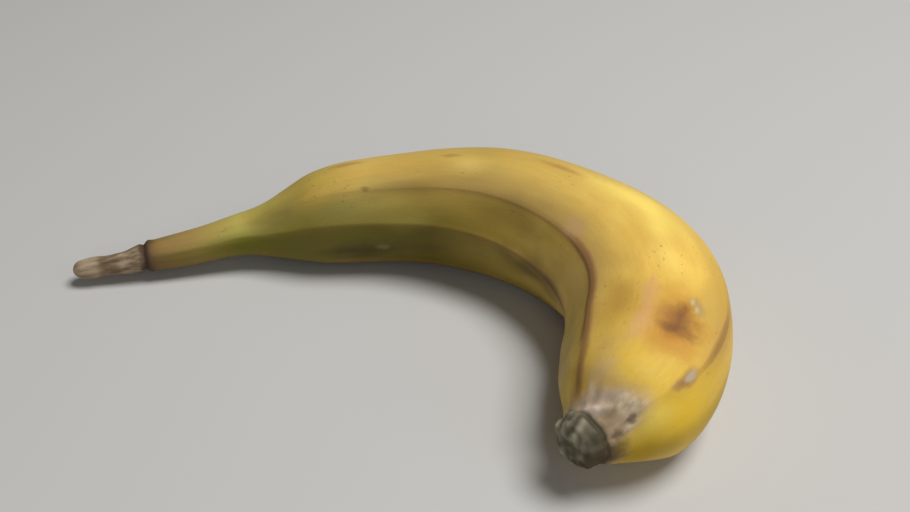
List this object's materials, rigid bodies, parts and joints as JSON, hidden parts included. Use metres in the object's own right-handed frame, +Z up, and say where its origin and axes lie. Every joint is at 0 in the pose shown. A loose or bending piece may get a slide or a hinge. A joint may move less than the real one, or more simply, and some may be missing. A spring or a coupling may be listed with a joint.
{
  "type": "plantain",
  "caption": "Ripe yellow plantain, strongly curved and ribbed, with a tapering dried stalk and a shrivelled blossom end, lying on its side",
  "frame": {"origin": "middle of the fruit's box in plan, on the surface it lies on", "axes": "+Z up; +X along the plan's long side, away from the tip of the stalk; +Y across it, away from the blossom end"},
  "size_m": [0.2032, 0.1338, 0.0425],
  "materials": {
    "peel": "smooth satin skin, bright yellow over the top and olive in the hollow of the curve, with brown rib lines and bruises"
  },
  "bodies": {
    "root": {"plantain": "peel"}
  },
  "joints": []
}
